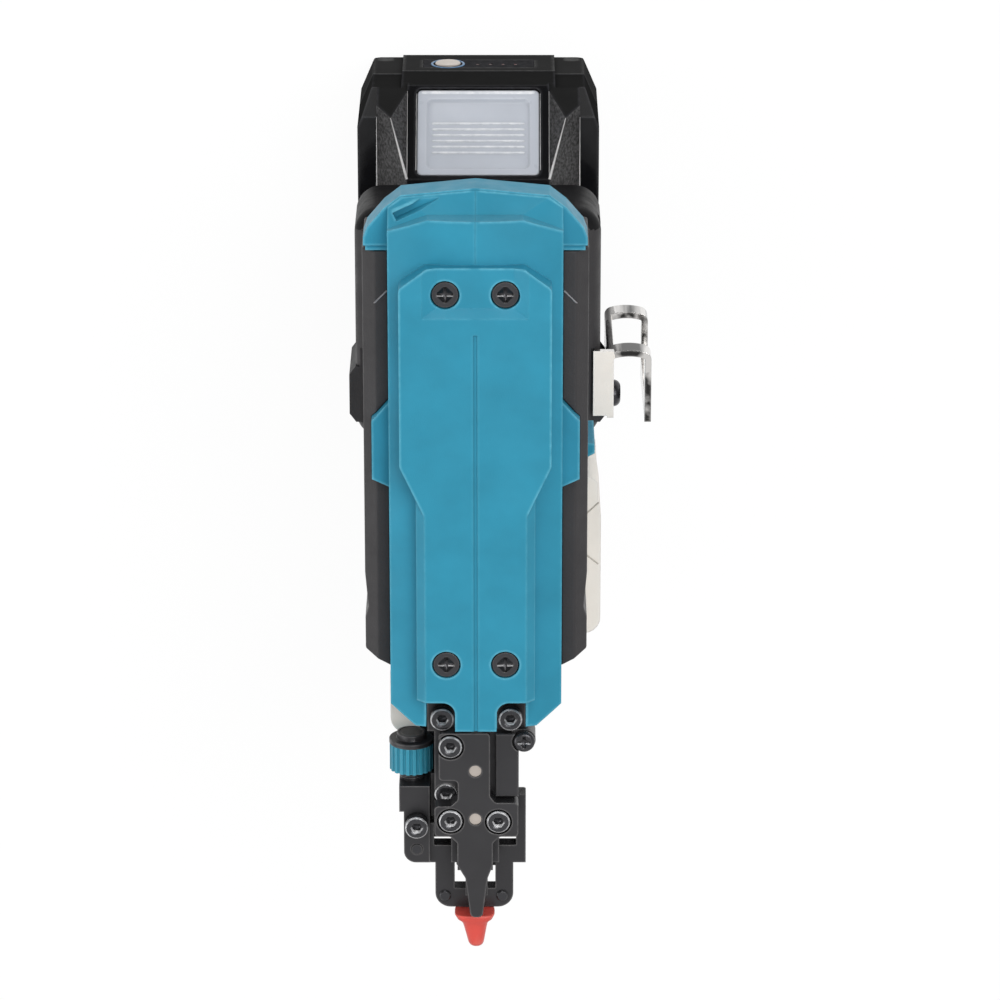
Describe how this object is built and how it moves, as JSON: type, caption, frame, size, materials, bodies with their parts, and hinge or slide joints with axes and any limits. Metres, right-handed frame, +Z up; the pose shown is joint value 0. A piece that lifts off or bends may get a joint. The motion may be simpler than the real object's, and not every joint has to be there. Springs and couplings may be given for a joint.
{
  "type": "cordless pin nailer",
  "caption": "Cordless pin nailer standing on its slide-on battery: barrel with top cover, pistol handle, motor leg, upright magazine, contact nose and belt hook.",
  "frame": {"origin": "middle of the battery's flat base", "axes": "+X to the tool's belt-hook side, +Y to the rear, against the shot, +Z up, towards the top cover"},
  "size_m": [0.0926, 0.2301, 0.2425],
  "materials": {
    "teal_plastic": "satin moulded teal",
    "dark_plastic": "fine-grained charcoal",
    "grip_rubber": "matt ribbed rubber",
    "battery_plastic": "gloss black",
    "pale_plastic": "satin pale grey",
    "cast_metal": "sand-cast look, coated pale grey",
    "black_steel": "black oxide",
    "screw_steel": "black oxide",
    "bright_steel": "ground steel",
    "hook_chrome": "bright nickel plate",
    "magazine_aluminium": "black anodised",
    "red_rubber": "soft red",
    "lock_plastic": "black",
    "cell_wrap": "shrink wrap",
    "board_laminate": "green laminate",
    "contact_brass": "bright"
  },
  "bodies": {
    "housing": {"left_housing": "teal_plastic", "right_housing": "teal_plastic", "left_foot": "dark_plastic", "right_foot": "dark_plastic", "left_grip": "grip_rubber", "right_grip": "grip_rubber", "left_side_cover": "dark_plastic", "right_side_cover": "dark_plastic", "end_cap": "teal_plastic", "top_cover": "teal_plastic", "cover_screws": "screw_steel", "housing_screws": "screw_steel", "motor_housing": "teal_plastic", "gear_case": "cast_metal", "reduction_gear": "bright_steel", "motor_stator": "bright_steel", "motor_bearings": "bright_steel", "bearing_plates": "bright_steel", "lifter_bearing": "bright_steel", "drive_spring": "bright_steel", "spring_guide": "bright_steel", "bumper": "grip_rubber", "nose_base": "black_steel", "nose_plate": "black_steel", "nose_screws": "screw_steel", "dowel_pins": "bright_steel", "guide_block": "black_steel", "guide_screw": "screw_steel", "magazine_rail": "magazine_aluminium", "magazine_bracket": "black_steel", "pusher_spring": "bright_steel", "trigger_pin": "bright_steel", "main_switch": "dark_plastic", "controller_board": "board_laminate", "terminal_block": "dark_plastic", "terminal_blades": "contact_brass", "belt_hook": "hook_chrome", "hook_screw": "screw_steel"},
    "rotor": {"motor_rotor": "bright_steel"},
    "lifter": {"lifter": "bright_steel"},
    "driver": {"driver": "bright_steel"},
    "contact": {"contact_arm": "black_steel", "contact_screw": "screw_steel", "contact_pin": "screw_steel", "contact_rivets": "screw_steel"},
    "adjuster": {"depth_wheel": "teal_plastic", "wheel_flange": "black_steel"},
    "adapter": {"nose_adapter": "red_rubber"},
    "trigger": {"trigger": "dark_plastic"},
    "lock": {"lock_button": "lock_plastic"},
    "door": {"magazine_door": "magazine_aluminium"},
    "latch": {"magazine_latch": "dark_plastic"},
    "pusher": {"pusher": "black_steel"},
    "battery": {"battery_lower_case": "battery_plastic", "battery_upper_case": "battery_plastic", "battery_cells": "cell_wrap", "pack_screws": "screw_steel", "charge_gauge": "battery_plastic"},
    "release": {"release_button": "pale_plastic"},
    "check": {"check_button": "bright_steel"}
  },
  "joints": [
    {"name": "rotor_turn", "type": "hinge", "parent": "housing", "child": "rotor", "pos_m": [0.009, -0.053, 0.106], "axis": [0, 0, 1], "range_deg": [-760, 0]},
    {"name": "lifter_turn", "type": "hinge", "parent": "housing", "child": "lifter", "pos_m": [0.009, -0.053, 0.193], "axis": [0, 0, 1], "range_deg": [-256, 0]},
    {"name": "driver_stroke", "type": "slide", "parent": "housing", "child": "driver", "axis": [0, 1, 0], "range_m": [0, 0.04], "deforming": ["drive_spring"]},
    {"name": "contact_slide", "type": "slide", "parent": "housing", "child": "contact", "axis": [0, 1, 0], "range_m": [0, 0.005], "stiffness_N_per_m": 600},
    {"name": "depth_turn", "type": "hinge", "parent": "contact", "child": "adjuster", "pos_m": [-0.0188, -0.099, 0.207], "axis": [0, 1, 0], "continuous": true},
    {"name": "adapter_pull", "type": "slide", "parent": "contact", "child": "adapter", "axis": [0, -1, 0], "range_m": [0, 0.012]},
    {"name": "trigger_pull", "type": "hinge", "parent": "housing", "child": "trigger", "pos_m": [0, 0.005, 0.166], "axis": [1, 0, 0], "range_deg": [0, 10], "stiffness_Nm_per_rad": 0.6},
    {"name": "lock_slide", "type": "slide", "parent": "housing", "child": "lock", "axis": [1, 0, 0], "range_m": [0, 0.004]},
    {"name": "door_slide", "type": "slide", "parent": "housing", "child": "door", "axis": [0, 0, -1], "range_m": [0, 0.04]},
    {"name": "latch_tip", "type": "hinge", "parent": "door", "child": "latch", "pos_m": [0.0037, -0.093, 0.06], "axis": [1, 0, 0], "range_deg": [0, 12], "stiffness_Nm_per_rad": 0.02},
    {"name": "pusher_feed", "type": "slide", "parent": "housing", "child": "pusher", "axis": [0, 0, -1], "range_m": [0, 0.1], "stiffness_N_per_m": 12, "springref_m": -0.05, "deforming": ["pusher_spring"]},
    {"name": "battery_slide", "type": "slide", "parent": "housing", "child": "battery", "axis": [0, 1, 0], "range_m": [0, 0.06]},
    {"name": "release_press", "type": "slide", "parent": "battery", "child": "release", "axis": [0, -0.6947, -0.7193], "range_m": [0, 0.0012], "stiffness_N_per_m": 800},
    {"name": "check_press", "type": "slide", "parent": "battery", "child": "check", "axis": [0, -1, 0], "range_m": [0, 0.0006], "stiffness_N_per_m": 800}
  ],
  "couplings": [
    {"joint": "lifter_turn", "follows": "rotor_turn", "ratio": 0.33333},
    {"joint": "driver_stroke", "follows": "rotor_turn", "m_per_rad": -0.003}
  ]
}
